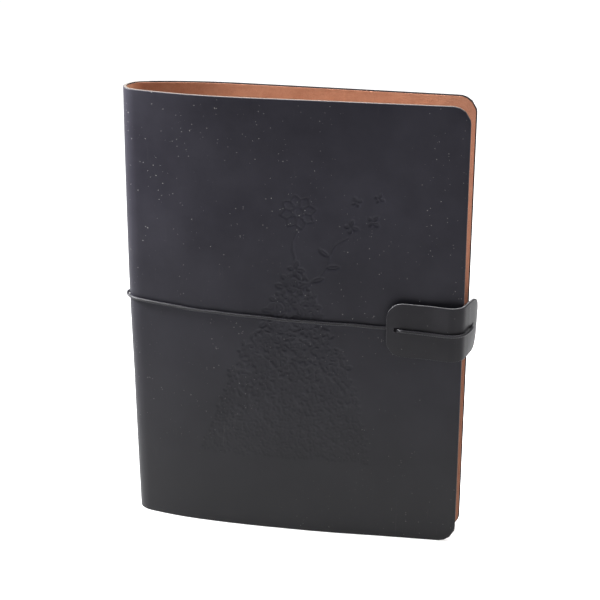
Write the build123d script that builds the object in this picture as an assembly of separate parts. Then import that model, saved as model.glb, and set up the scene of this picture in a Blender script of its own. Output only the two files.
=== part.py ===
"""A wrap-round leather notebook cover with a six-ring mechanism and an elastic tab closure.

The cover stands on its lower edges, closed. X runs from the spine to the fore-edge, Y from the front
cover to the back cover, Z up. Each profile below is drawn with the spine's outermost line at x = 0
and the covers' middle plane at y = 0, and move_to_origin() shifts everything at the end.
"""
from build123d import *
from math import atan2, cos, degrees, pi, radians, sin, sqrt
import os

# cover
COVER_HEIGHT = 185.0
COVER_WIDTH = 136.4            # spine's outermost line to the front cover's fore-edge
BACK_OVERHANG = 0.8            # of the back cover's fore-edge, beyond the front cover's
FORE_EDGE_DEPTH = 18.5         # over both covers at the fore-edge
SHOULDER_DEPTH = 23.3          # over both covers where they turn flat
SHOULDER_AT = 45.0             # from the spine, where the covers turn flat
SHOULDER_RADIUS = 150.0        # of the leather between the spine and the flat covers
FOLD_AT = 8.0                  # from the spine, the two lines on which the covers fold
CORNER_RADIUS = 7.0            # at the fore-edge corners
LEATHER = 1.2
LINING = 0.5
LINING_INSET = 0.4             # the lining stops this far inside the leather's edge

# elastic cord and its anchor in the back cover
CORD_DIAMETER = 1.5
CORD_GAP = 0.3                 # between the cord and what it lies on
CORD_PLAY = 0.4                # on each side of the cord in its holes
CORD_HOLE = CORD_DIAMETER + 2 * CORD_PLAY   # width of each hole
CORD_HEIGHT = 96.2             # at the middle of the cover's width
CORD_SLOPE = 1.8               # degrees, down towards the fore-edge
ANCHOR_INSET = 13.0            # from the fore-edge to the anchor hole
ANCHOR_PITCH = CORD_DIAMETER + CORD_PLAY    # between the two strands in the hole
ANCHOR_SLOT = (ANCHOR_PITCH + CORD_HOLE, CORD_HOLE)
KNOT_GRIP = 1.1                # beyond each end of the hole
KNOT = (ANCHOR_SLOT[0] + 2 * KNOT_GRIP, 3.4, 5.0)   # along X, Y and Z
KNOT_ROUND = 1.5
KNOT_SEAT = 0.05               # between the knot and the lining

# tab
TAB_WIDTH = 22.6
TAB_HEIGHT = 93.3              # of its middle
TAB_THICKNESS = 1.2
TAB_REACH = 30.2               # of the front leg, from the fore-edge
TAB_PROUD = 4.8                # beyond the fore-edge
TAB_END = 4.0                  # of its far end, past the covers' middle plane
TAB_CORNER = 6.5
TAB_BEND = 5.5                 # radius at mid thickness, round the fore-edge
TAB_CLEAR = 0.1                # between its end and the cord that passes under it
TAB_LIFT = CORD_GAP + CORD_DIAMETER + TAB_CLEAR     # gap under that end
TAB_LIFTED = 7.5               # length of that end
TAB_STEP = 7.5                 # length over which it comes down to the cover
TAB_REST = 0.4                 # gap where it lies on the cover
TAB_BEND_GAP = 1.2             # gap where the bend begins
TAB_HOLE_INSET = 5.0           # from each end to its hole
TAB_HOLE = (2 * CORD_HOLE, CORD_HOLE)       # length and width of each hole
STEP_RADIUS = 2.2              # of the cord's turns into and out of holes

# six-ring mechanism
RING_AT = 30.0                 # from the spine to the middle of the rail
RING_PITCH = 19.0
RING_MIDDLE_PITCH = 51.0
RING_RADIUS = 7.3              # of the wire's centre line
RING_WIRE = 2.0
RING_CENTRE = 7.9              # above the lining
RING_GAP = 0.1                 # between the two halves' tips
RAIL_WIDTH = 15.0
RAIL_RISE = 4.6
RAIL_SHEET = 0.6
RAIL_OVERHANG = 7.0            # beyond the end rings
RAIL_SEAT = 0.25               # clears the lining's hollow curve under the rail's feet
SLOT_INNER = 1.3               # half the strip left between a pair of slots
SLOT_WIDTH = 3.0
BLADE_THICKNESS = 0.8
BLADE_LOW = 0.8                # underside above the lining
PIVOT_AT = 5.4                 # from the rail's middle to each blade's pivot line
BLADE_GAP = 0.05
BLADE_SHORT = 1.0              # blades stop this far inside each end of the rail
RIVET_SHANK = 3.0
RIVET_FIT = 0.05
RIVET_NOTCH = 2.3              # radius of the clearance in the blades
RIVET_HEAD = (5.0, 0.9)        # diameter and height on the rail
HEAD_ROUND = 0.7
CAP = (8.0, 1.1)               # diameter and height of the cap on the back cover
CAP_SEAT = 0.02                # between the cap and the leather

THROUGH = 60.0                 # longer than any wall that a cutter crosses

slant = atan2((SHOULDER_DEPTH - FORE_EDGE_DEPTH) / 2, COVER_WIDTH - SHOULDER_AT)
outward = (sin(slant), cos(slant))
shoulder_start = (SHOULDER_AT, SHOULDER_DEPTH / 2)
shoulder_centre = (shoulder_start[0] - SHOULDER_RADIUS * outward[0],
                   shoulder_start[1] - SHOULDER_RADIUS * outward[1])
nose_radius = ((SHOULDER_RADIUS ** 2 - shoulder_centre[0] ** 2 - shoulder_centre[1] ** 2)
               / (2 * (SHOULDER_RADIUS - shoulder_centre[0])))
wall = LEATHER + LINING
BACK_WIDTH = COVER_WIDTH + BACK_OVERHANG
ring_offsets = [sign * (RING_MIDDLE_PITCH / 2 + n * RING_PITCH) for sign in (-1, 1) for n in range(3)]
ring_heights = sorted(COVER_HEIGHT / 2 + offset for offset in ring_offsets)
rivet_heights = [(ring_heights[0] + ring_heights[1]) / 2, (ring_heights[4] + ring_heights[5]) / 2]
rail_length = ring_heights[-1] - ring_heights[0] + 2 * RAIL_OVERHANG


def face_height(u):
    """Half the depth over the covers at a distance u from the spine."""
    if u >= SHOULDER_AT:
        return SHOULDER_DEPTH / 2 - (u - SHOULDER_AT) * sin(slant) / cos(slant)
    return shoulder_centre[1] + sqrt(SHOULDER_RADIUS ** 2 - (u - shoulder_centre[0]) ** 2)


def on_cover(u, out, side):
    """A point the distance out off the flat outer face; side is -1 on the front cover, 1 on the back."""
    return (u + out * outward[0], side * (face_height(u) + out * outward[1]))


def fold_line(side):
    return (FOLD_AT, side * face_height(FOLD_AT))


def wrap_edges(out):
    """The two shoulders and the spine's nose at a distance out from the leather, front to back."""
    start = (shoulder_start[0] + out * outward[0], shoulder_start[1] + out * outward[1])
    big = SHOULDER_RADIUS + out
    to_nose = atan2(-shoulder_centre[1], nose_radius - shoulder_centre[0])
    to_start = atan2(outward[1], outward[0])
    half = (to_nose + to_start) / 2
    middle = (shoulder_centre[0] + big * cos(half), shoulder_centre[1] + big * sin(half))
    join = (shoulder_centre[0] + big * cos(to_nose), shoulder_centre[1] + big * sin(to_nose))
    front = ThreePointArc((start[0], -start[1]), (middle[0], -middle[1]), (join[0], -join[1]))
    nose = ThreePointArc((join[0], -join[1]), (-out, 0), join)
    back = ThreePointArc(join, middle, start)
    return [front, nose, back], start


def cover_layer(outer, inner):
    """The sheet of the whole cover between two depths in its thickness."""
    outside, out_start = wrap_edges(-outer)
    inside, in_start = wrap_edges(-inner)
    out_end = on_cover(BACK_WIDTH, -outer, 1)
    in_end = on_cover(BACK_WIDTH, -inner, 1)
    edges = outside + inside
    for side in (-1, 1):
        edges.append(Line((out_start[0], side * out_start[1]), (out_end[0], side * out_end[1])))
        edges.append(Line((in_start[0], side * in_start[1]), (in_end[0], side * in_end[1])))
        edges.append(Line((out_end[0], side * out_end[1]), (in_end[0], side * in_end[1])))
    return extrude(make_face(Wire(edges)), COVER_HEIGHT)


def cover_outline(inset, width):
    """A prism along Y with one cover's outline, rounded at the two fore-edge corners."""
    right = width - inset
    low, high = inset, COVER_HEIGHT - inset
    left = -THROUGH
    radius = CORNER_RADIUS - inset
    turn = radius * (1 - sqrt(0.5))
    outline = Wire([
        Line((left, low), (right - radius, low)),
        ThreePointArc((right - radius, low), (right - turn, low + turn), (right, low + radius)),
        Line((right, low + radius), (right, high - radius)),
        ThreePointArc((right, high - radius), (right - turn, high - turn), (right - radius, high)),
        Line((right - radius, high), (left, high)),
        Line((left, high), (left, low)),
    ])
    prism = extrude(make_face(outline), THROUGH, both=True)
    return prism.rotate(Axis.X, 90)


def block(x, y, z):
    """A box between two limits along each axis."""
    size = [limits[1] - limits[0] for limits in (x, y, z)]
    middle = [(limits[1] + limits[0]) / 2 for limits in (x, y, z)]
    return Pos(*middle) * Box(*size)


def cord_point(u, y):
    """A point of the cord's plane, which slopes down towards the fore-edge."""
    run = u - COVER_WIDTH / 2
    return (COVER_WIDTH / 2 + run * cos(radians(CORD_SLOPE)), y,
            CORD_HEIGHT - run * sin(radians(CORD_SLOPE)))


def on_seat(local):
    """Places a piece of the ring mechanism, drawn with its seat at y = 0 and Y away from the lining."""
    lining_radius = SHOULDER_RADIUS - wall
    run = RING_AT - shoulder_centre[0]
    seat = shoulder_centre[1] + sqrt(lining_radius ** 2 - run ** 2)
    tilt = degrees(atan2(-run, seat - shoulder_centre[1]))
    return Pos(RING_AT, seat, 0) * Rot(0, 0, 180 + tilt) * local


def seat_point(x, y):
    spot = on_seat(Pos(x, y, 0))
    return (spot.position.X, spot.position.Y)


# ---- covers and spine -------------------------------------------------------------------------


def covers():
    """Leather and lining, each in three parts that meet on the fold lines."""
    parts = {}
    far = (FOLD_AT, COVER_WIDTH + THROUGH)
    tall = (-THROUGH, COVER_HEIGHT + THROUGH)
    regions = {
        "front": block(far, (-THROUGH, 0), tall),
        "spine": block((-THROUGH, FOLD_AT), (-THROUGH, THROUGH), tall),
        "back": block(far, (0, THROUGH), tall),
    }
    layers = {"leather": (0, LEATHER, 0), "lining": (LEATHER, wall, LINING_INSET)}
    for layer, (outer, inner, inset) in layers.items():
        sheet = cover_layer(outer, inner)
        for region, space in regions.items():
            width = BACK_WIDTH if region == "back" else COVER_WIDTH
            parts[f"{region}_{layer}"] = sheet & space & cover_outline(inset, width)
    for layer in layers:
        for cutter in back_cover_holes():
            parts[f"back_{layer}"] -= cutter
    return parts


def anchor_at():
    return COVER_WIDTH - ANCHOR_INSET


def back_cover_holes():
    """The cord's anchor hole and the two rivet holes."""
    slot = extrude(SlotOverall(*ANCHOR_SLOT), THROUGH / 2, both=True)
    x, y, z = cord_point(anchor_at(), THROUGH / 2)
    cutters = [Pos(x, y + wall, z) * Rot(90, 0, 0) * slot]
    hole = Cylinder(RIVET_SHANK / 2 + RIVET_FIT, THROUGH / 2)
    for height in rivet_heights:
        cutters.append(Pos(0, 0, height) * on_seat(Rot(90, 0, 0) * hole))
    return cutters


# ---- closure ----------------------------------------------------------------------------------


def tab_line():
    """The tab's mid-thickness line round the fore-edge, from the front leg to the far end."""
    half = TAB_THICKNESS / 2
    left = COVER_WIDTH - TAB_REACH
    across = COVER_WIDTH + TAB_PROUD - half
    bend = on_cover(COVER_WIDTH, TAB_BEND_GAP + half, -1)
    return [
        on_cover(left, TAB_LIFT + half, -1),
        on_cover(left + TAB_LIFTED, TAB_LIFT + half, -1),
        on_cover(left + TAB_LIFTED + TAB_STEP, TAB_REST + half, -1),
        (across, bend[1]),
        (across, TAB_END),
    ]


def closure_tab():
    line = tab_line()
    path = FilletPolyline(*line, radius=[STEP_RADIUS * 4, STEP_RADIUS * 4, TAB_BEND])
    start = Plane(origin=(*line[0], 0), x_dir=(0, 0, 1), z_dir=path % 0)
    strip = sweep(start * Rectangle(TAB_WIDTH, TAB_THICKNESS), path)
    ends = strip.edges().filter_by(lambda e: abs(e.length - TAB_THICKNESS) < 0.01)
    strip = fillet(ends, TAB_CORNER)
    tab = Pos(0, 0, TAB_HEIGHT) * strip
    for cutter in tab_holes():
        tab -= cutter
    return tab


def tab_holes():
    near = COVER_WIDTH - TAB_REACH + TAB_HOLE_INSET
    slot = extrude(SlotOverall(*TAB_HOLE), 2 * TAB_THICKNESS, both=True)
    across = COVER_WIDTH + TAB_PROUD - TAB_THICKNESS / 2
    x, y, z = cord_point(*on_cover(near, TAB_LIFT + TAB_THICKNESS / 2, -1))
    yield Pos(x, y, z) * Rot(90, 0, 0) * slot
    x, y, z = cord_point(across, TAB_END - TAB_HOLE_INSET)
    yield Pos(x, y, z) * Rot(0, 90, 0) * Rot(0, 0, 90) * slot


def cord_route():
    """The cord's whole centre line in its own plane, from the knot round the cover and back to it."""
    lie = CORD_DIAMETER / 2 + CORD_GAP
    over = lie + TAB_THICKNESS
    left = COVER_WIDTH - TAB_REACH
    near = left + TAB_HOLE_INSET
    across = COVER_WIDTH + TAB_PROUD - TAB_THICKNESS / 2
    off_tab = TAB_THICKNESS / 2 + lie
    far_hole = TAB_END - TAB_HOLE_INSET
    step = TAB_HOLE[0] / 2 - CORD_DIAMETER / 2
    inside = -wall - CORD_DIAMETER
    first = anchor_at() - ANCHOR_PITCH / 2
    second = anchor_at() + ANCHOR_PITCH / 2
    wrap, start = wrap_edges(lie)
    back_run = FilletPolyline(on_cover(first, inside, 1), on_cover(first, lie, 1), start,
                              radius=[STEP_RADIUS])
    line = tab_line()
    bend_y = line[3][1]
    front_run = FilletPolyline(
        (start[0], -start[1]),
        on_cover(near - step, lie, -1),
        on_cover(near + step, TAB_LIFT + over, -1),
        on_cover(left + TAB_LIFTED + 2 * step, TAB_LIFT + over, -1),
        on_cover(left + TAB_LIFTED + TAB_STEP, TAB_REST + over, -1),
        (across + off_tab, bend_y - off_tab),
        (across + off_tab, far_hole - step),
        (across - off_tab, far_hole + step),
        on_cover(BACK_WIDTH + lie, lie, 1),
        on_cover(second, lie, 1),
        on_cover(second, inside, 1),
        radius=[STEP_RADIUS / 2, STEP_RADIUS / 2, STEP_RADIUS, 2 * STEP_RADIUS, TAB_BEND + off_tab,
                STEP_RADIUS / 2, STEP_RADIUS / 2, CORD_DIAMETER, STEP_RADIUS],
    )
    edges = back_run.edges() + [arc.edge() for arc in wrap] + front_run.edges()
    return Wire(edges)


def closure_cord():
    """One length of elastic, cut into the runs that ride on different pieces, and its knot."""
    route = cord_route()
    start = Plane(origin=route @ 0, z_dir=route % 0)
    tube = sweep(start * Circle(CORD_DIAMETER / 2), route)
    turn = Pos(COVER_WIDTH / 2, 0, CORD_HEIGHT) * Rot(0, CORD_SLOPE, 0) * Pos(-COVER_WIDTH / 2, 0, 0)
    tube = turn * tube
    near = COVER_WIDTH - TAB_REACH + TAB_HOLE_INSET
    far_hole = TAB_END - TAB_HOLE_INSET
    edge = COVER_WIDTH - ANCHOR_INSET / 2
    tall = (0, COVER_HEIGHT)
    low, high = -THROUGH, COVER_WIDTH + THROUGH
    spaces = {
        "closure_cord_front": block((low, near), (low, 0), tall),
        "closure_cord_over_tab": block((near, high), (low, far_hole), tall),
        "closure_cord_edge": block((edge, high), (far_hole, TAB_END + CORD_DIAMETER), tall),
        "closure_cord_anchor": block((anchor_at(), high), (TAB_END + CORD_DIAMETER, THROUGH), tall),
        "closure_cord_back": block((low, anchor_at()), (0, THROUGH), tall),
    }
    x, y, z = cord_point(*on_cover(anchor_at(), -wall - KNOT[1] / 2 - KNOT_SEAT, 1))
    lump = Box(*KNOT)
    knot = Pos(x, y, z) * fillet(lump.edges(), KNOT_ROUND)
    parts = {name: tube & space for name, space in spaces.items()}
    for name in ("closure_cord_anchor", "closure_cord_back"):
        parts[name] = largest(parts[name] - knot)
    parts["closure_cord_knot"] = knot
    print("closure cord length", round(route.length, 1), "section volume",
          round(route.length * pi * CORD_DIAMETER ** 2 / 4, 1), "solid", round(tube.volume, 1))
    return parts


def largest(shape):
    return max(shape.solids(), key=lambda solid: solid.volume)


# ---- six-ring mechanism ------------------------------------------------------------------------


def rail():
    """The arched steel cover of the mechanism, standing on its two long edges."""
    half = RAIL_WIDTH / 2
    outer = (half ** 2 + RAIL_RISE ** 2) / (2 * RAIL_RISE)
    drop = RAIL_RISE - outer
    ring = Pos(0, drop) * (Circle(outer) - Circle(outer - RAIL_SHEET))
    arch = ring & Pos(0, RAIL_SEAT + half) * Rectangle(2 * RAIL_WIDTH, RAIL_WIDTH)
    shell = extrude(arch, rail_length)
    shell = Pos(0, 0, ring_heights[0] - RAIL_OVERHANG) * shell
    reach = half - SLOT_INNER
    for height in ring_heights:
        for side in (-1, 1):
            shell -= Pos(side * (SLOT_INNER + reach / 2), RAIL_RISE, height) * Box(
                reach - RAIL_SHEET, 2 * RAIL_RISE - 2 * (BLADE_LOW + BLADE_THICKNESS), SLOT_WIDTH)
    for height in rivet_heights:
        shell -= Pos(0, RAIL_RISE, height) * Rot(90, 0, 0) * Cylinder(
            RIVET_SHANK / 2 + RIVET_FIT, RAIL_RISE)
    return on_seat(shell)


def hinge_blade(side):
    """One of the two spring-steel leaves under the rail; side is -1 for the leaf near the spine."""
    length = rail_length - 2 * BLADE_SHORT
    half = BLADE_THICKNESS / 2
    middle = BLADE_LOW + half
    width = PIVOT_AT - BLADE_GAP
    outline = Pos(side * (BLADE_GAP + width / 2), middle) * Rectangle(width, BLADE_THICKNESS)
    outline += Pos(side * PIVOT_AT, middle) * Circle(half)
    leaf = Pos(0, 0, ring_heights[0] - RAIL_OVERHANG + BLADE_SHORT) * extrude(outline, length)
    for height in rivet_heights:
        leaf -= Pos(0, middle, height) * Rot(90, 0, 0) * Cylinder(RIVET_NOTCH, 4 * BLADE_THICKNESS)
    return on_seat(mirrored(leaf))


def half_ring(side, height):
    """Half of one ring, standing on its blade; side is -1 for the half near the spine."""
    top = BLADE_LOW + BLADE_THICKNESS
    reach = RING_RADIUS + RING_WIRE
    wire = Pos(0, RING_CENTRE, 0) * Torus(RING_RADIUS, RING_WIRE / 2)
    wire &= block((RING_GAP / 2, reach), (top, RING_CENTRE + reach), (-RING_WIRE, RING_WIRE))
    if side < 0:
        wire = wire.mirror(Plane.YZ)
    return on_seat(mirrored(Pos(0, 0, height) * wire))


def mirrored(piece):
    """Swaps the sides of a piece drawn in the seat's frame, whose X runs towards the spine."""
    return piece.mirror(Plane.YZ)


def rivets():
    """Two rivets that hold the rail to the back cover, with a formed head on the rail."""
    low = -wall - CAP[1] / 2
    high = RAIL_RISE + RIVET_HEAD[1] / 2
    group = []
    for height in rivet_heights:
        shank = Pos(0, (low + high) / 2, height) * Rot(90, 0, 0) * Cylinder(RIVET_SHANK / 2, high - low)
        head = Pos(0, RAIL_RISE + RIVET_HEAD[1] / 2, height) * Rot(90, 0, 0) * Cylinder(
            RIVET_HEAD[0] / 2, RIVET_HEAD[1])
        rim = head.edges().filter_by(GeomType.CIRCLE).sort_by(Axis.Y)[-1]
        group.append(on_seat(shank + fillet(rim, HEAD_ROUND)))
    return Compound(group)


def rivet_caps():
    """Domed caps pressed on the rivets, outside the back cover."""
    group = []
    reach = CAP[0] / 2
    dome = (reach ** 2 + CAP[1] ** 2) / (2 * CAP[1])
    for height in rivet_heights:
        ball = Pos(0, -wall - CAP[1] + dome, height) * Sphere(dome)
        cap = ball & block((-reach, reach), (-wall - 2 * CAP[1], -wall - CAP_SEAT), (0, COVER_HEIGHT))
        bore = Pos(0, -wall, height) * Rot(90, 0, 0) * Cylinder(RIVET_SHANK / 2, CAP[1])
        group.append(on_seat(largest(cap) - bore))
    return Compound(group)


# ---- assembly ----------------------------------------------------------------------------------


def move_to_origin(parts):
    """Puts the origin at the bottom centre of the whole object's box and prints the joints' places."""
    box = Compound(list(parts.values())).bounding_box()
    shift = (-(box.min.X + box.max.X) / 2, -(box.min.Y + box.max.Y) / 2, -box.min.Z)
    middle = BLADE_LOW + BLADE_THICKNESS / 2
    places = {
        "front_fold": fold_line(-1),
        "back_fold": fold_line(1),
        "left_rings_swing": seat_point(PIVOT_AT, middle),
        "right_rings_swing": seat_point(-PIVOT_AT, middle),
        "ring_centre": seat_point(0, RING_CENTRE),
        "fore_edge": (COVER_WIDTH, 0),
    }
    for name, place in places.items():
        print(name, [round((place[n] + shift[n]) / 1000, 6) for n in range(2)])
    print("box", [round(v, 3) for v in (*box.size,)], "shift", [round(v, 3) for v in shift])
    return {name: Pos(*shift) * piece for name, piece in parts.items()}


def main():
    parts = covers()
    parts["closure_tab"] = closure_tab()
    parts.update(closure_cord())
    parts["ring_rail"] = rail()
    for name, side in (("left", -1), ("right", 1)):
        parts[f"{name}_hinge_blade"] = hinge_blade(side)
        for n, height in enumerate(ring_heights):
            parts[f"{name}_half_ring_{n + 1}"] = half_ring(side, height)
    parts["rail_rivets"] = rivets()
    parts["rivet_caps"] = rivet_caps()
    os.makedirs("parts", exist_ok=True)
    for name, piece in move_to_origin(parts).items():
        export_step(piece, f"parts/{name}.step")


main()
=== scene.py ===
"""A black leather wrap-round notebook cover, closed by an elastic cord and a leather tab.

Lengths in the geometry are in millimetres; the frame, the lights and the camera are in metres. The
cover's section is drawn from the spine's outermost line: "u" is the straight distance from that line,
"along" is the distance over the leather, positive on the front cover and negative on the back cover,
and "out" is the height off the leather's outer face.
"""
import bpy
import math
import random
import numpy as np
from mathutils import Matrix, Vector


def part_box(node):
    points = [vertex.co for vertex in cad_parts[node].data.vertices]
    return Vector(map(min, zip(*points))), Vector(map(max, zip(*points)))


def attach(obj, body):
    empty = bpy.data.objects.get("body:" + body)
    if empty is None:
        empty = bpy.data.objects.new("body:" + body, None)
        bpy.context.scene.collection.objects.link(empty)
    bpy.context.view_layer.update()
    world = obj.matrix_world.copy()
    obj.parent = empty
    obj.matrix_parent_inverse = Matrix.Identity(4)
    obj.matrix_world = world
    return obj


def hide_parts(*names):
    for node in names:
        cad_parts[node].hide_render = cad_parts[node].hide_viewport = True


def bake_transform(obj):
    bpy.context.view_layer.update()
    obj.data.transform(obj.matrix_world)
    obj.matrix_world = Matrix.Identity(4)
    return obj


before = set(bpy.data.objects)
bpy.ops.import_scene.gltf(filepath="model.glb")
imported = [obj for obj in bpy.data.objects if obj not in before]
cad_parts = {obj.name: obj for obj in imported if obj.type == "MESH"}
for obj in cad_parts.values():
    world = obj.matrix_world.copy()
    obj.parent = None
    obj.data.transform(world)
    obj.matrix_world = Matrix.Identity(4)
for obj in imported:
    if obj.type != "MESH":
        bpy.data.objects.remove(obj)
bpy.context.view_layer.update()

MM = 0.001

# ---- sizes shared with the frame -----------------------------------------------------------------

spine_low, spine_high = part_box("spine_leather")
front_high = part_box("front_leather")[1]
back_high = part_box("back_leather")[1]
NOSE_X = spine_low[0] / MM
MIDDLE_Y = (spine_low[1] + spine_high[1]) / 2 / MM
WIDTH = front_high[0] / MM - NOSE_X
HEIGHT = front_high[2] / MM
FOLD_AT = spine_high[0] / MM - NOSE_X
BACK_OVERHANG = (back_high[0] - front_high[0]) / MM

# ---- the cover -----------------------------------------------------------------------------------

FORE_EDGE_DEPTH = 18.5         # over both covers at the fore-edge
SHOULDER_DEPTH = 23.3          # over both covers where they turn flat
SHOULDER_AT = 45.0
SHOULDER_RADIUS = 150.0
CORNER_RADIUS = 7.0
LEATHER = 1.2
LINING = 0.5
LINING_INSET = 0.4
SEAM_OVERLAP = 0.02            # of the lining into the leather, so that no light shows between them
LIP = 0.28                     # radius of the leather's cut edges

# how far the leather has moved from a flat-sided cover
SPINE_BOW = 0.8
SPINE_LEAN = 0.45
FRONT_SWELL = 0.9
FRONT_HOLLOW = 0.9
FRONT_PRESS = 0.4
BACK_LEAN = 6.5

# ---- the closure ---------------------------------------------------------------------------------

CORD_RADIUS = 0.62
CORD_LIE = 0.8                 # from the cord's middle to the face that it lies on
BRAID_PITCH = 1.9
TAB_HALF_WIDTH = 11.3
TAB_THICKNESS = 1.2
TAB_CORNER = 6.5
TAB_LIP = 0.3
TAB_HEIGHT = 93.65             # of the tab's middle at its lowest
TAB_RISE = 0.85
TAB_LEFT = WIDTH - 29.9
NEAR_HOLE = TAB_LEFT + 4.5


class Section:
    """The closed cover's section: a nose arc, a wide shoulder arc and a straight line, on each side."""

    slant = math.atan2((SHOULDER_DEPTH - FORE_EDGE_DEPTH) / 2, WIDTH - SHOULDER_AT)
    start = np.array([SHOULDER_AT, SHOULDER_DEPTH / 2])
    normal = np.array([math.sin(slant), math.cos(slant)])
    centre = start - SHOULDER_RADIUS * normal
    nose = ((SHOULDER_RADIUS ** 2 - centre @ centre) / (2 * (SHOULDER_RADIUS - centre[0])))
    join_angle = math.atan2(-centre[1], nose - centre[0])
    flat_angle = math.atan2(normal[1], normal[0])
    nose_length = nose * (math.pi - join_angle)
    shoulder_length = SHOULDER_RADIUS * (join_angle - flat_angle)
    flat_length = (WIDTH - SHOULDER_AT) / math.cos(slant)
    length = nose_length + shoulder_length + flat_length

    @classmethod
    def at(cls, along, out=0.0):
        """(x, y) in millimetres, for distances along the leather and heights off it."""
        along = np.asarray(along, float)
        far = np.abs(along)
        on_nose = math.pi - far / cls.nose
        on_shoulder = cls.join_angle - (far - cls.nose_length) / SHOULDER_RADIUS
        run = far - cls.nose_length - cls.shoulder_length
        x = np.where(far < cls.nose_length, cls.nose + (cls.nose + out) * np.cos(on_nose),
                     np.where(run < 0, cls.centre[0] + (SHOULDER_RADIUS + out) * np.cos(on_shoulder),
                              cls.start[0] + out * cls.normal[0] + run * math.cos(cls.slant)))
        y = np.where(far < cls.nose_length, (cls.nose + out) * np.sin(on_nose),
                     np.where(run < 0, cls.centre[1] + (SHOULDER_RADIUS + out) * np.sin(on_shoulder),
                              cls.start[1] + out * cls.normal[1] - run * math.sin(cls.slant)))
        return NOSE_X + x, MIDDLE_Y - np.sign(along + 1e-12) * y

    @classmethod
    def along_at(cls, u):
        """Distance over the leather to the point u from the spine, beyond the nose."""
        if u >= SHOULDER_AT:
            return cls.nose_length + cls.shoulder_length + (u - SHOULDER_AT) / math.cos(cls.slant)
        angle = math.acos((u - cls.centre[0]) / SHOULDER_RADIUS)
        return cls.nose_length + (cls.join_angle - angle) * SHOULDER_RADIUS


FRONT_Y = MIDDLE_Y - FORE_EDGE_DEPTH / 2


def off_front(u, out):
    """(x, y) at a height out off the front cover, u from the spine."""
    x, y = Section.at(Section.along_at(min(u, WIDTH)), out)
    return float(x) + max(u - WIDTH, 0), float(y)


# ---- finishes ------------------------------------------------------------------------------------


class Value:
    """A shader socket that takes part in arithmetic, so that a mask is written as a formula."""

    def __init__(self, finish, socket):
        self.finish, self.socket = finish, socket

    def math(self, operation, *values):
        return self.finish.node("ShaderNodeMath", {"operation": operation}, dict(enumerate(values)))

    def __add__(self, other):
        return self.math("ADD", self, other)

    def __mul__(self, other):
        return self.math("MULTIPLY", self, other)

    def __lt__(self, other):
        return self.math("LESS_THAN", self, other)

    def __gt__(self, other):
        return self.math("GREATER_THAN", self, other)

    __radd__ = __add__
    __rmul__ = __mul__

    def span(self, low, high, to_low=0.0, to_high=1.0):
        """Maps low..high to to_low..to_high, held at both ends."""
        return self.finish.node("ShaderNodeMapRange", {"clamp": True},
                                {0: self, 1: low, 2: high, 3: to_low, 4: to_high})


class Finish:
    """A material and the shorthand for building it."""

    def __init__(self, name, **surface):
        self.material = bpy.data.materials.new(name)
        self.material.use_nodes = True
        self.tree = self.material.node_tree
        self.tree.nodes.clear()
        self.output = self.tree.nodes.new("ShaderNodeOutputMaterial")
        self.shader = self.tree.nodes.new("ShaderNodeBsdfPrincipled")
        self.tree.links.new(self.shader.outputs[0], self.output.inputs[0])
        self.place = self.node("ShaderNodeTexCoord", out="Object")
        for socket, value in surface.items():
            self.shader.inputs[self.label(socket)].default_value = value

    @staticmethod
    def label(socket):
        """A socket's name on the shader, such as Base Color for base_color."""
        return socket.replace("_", " ").title().replace("Ior", "IOR")

    def node(self, kind, settings=None, inputs=None, out=0):
        """Adds a node: its settings first, then its sockets' values or links. Returns one output."""
        node = self.tree.nodes.new(kind)
        for name, setting in (settings or {}).items():
            setattr(node, name, setting)
        for key, value in (inputs or {}).items():
            if isinstance(value, Value):
                self.tree.links.new(value.socket, node.inputs[key])
            else:
                node.inputs[key].default_value = value
        return Value(self, node.outputs[out])

    def noise(self, scale, detail=2.0, rough=0.5, place=None):
        return self.node("ShaderNodeTexNoise", {}, {"Vector": place or self.place, "Scale": scale,
                                                    "Detail": detail, "Roughness": rough})

    def cells(self, scale):
        return self.node("ShaderNodeTexVoronoi", {"feature": "F1"},
                         {"Vector": self.place, "Scale": scale}, "Distance")

    def stretched(self, x, y, z):
        return self.node("ShaderNodeMapping", {}, {"Vector": self.place, "Scale": (x, y, z)})

    def axis(self, n):
        """The place along X, Y or Z in metres, for n of 0, 1 or 2."""
        return self.node("ShaderNodeSeparateXYZ", {}, {0: self.place}, n)

    def mix(self, factor, a, b):
        return self.node("ShaderNodeMix", {"data_type": "RGBA"}, {0: factor, 6: a, 7: b}, out=2)

    def feed(self, **sockets):
        for socket, value in sockets.items():
            self.tree.links.new(value.socket, self.shader.inputs[self.label(socket)])
        return self

    def bump(self, height, distance, strength=1.0):
        return self.feed(normal=self.node("ShaderNodeBump", {}, {
            "Height": height, "Distance": distance, "Strength": strength}))


def colour(r, g, b):
    """A display colour, each channel from 0 to 255, as a linear one."""
    def linear(v):
        v /= 255
        return v / 12.92 if v <= 0.04045 else ((v + 0.055) / 1.055) ** 2.4
    return (linear(r), linear(g), linear(b), 1.0)


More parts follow.
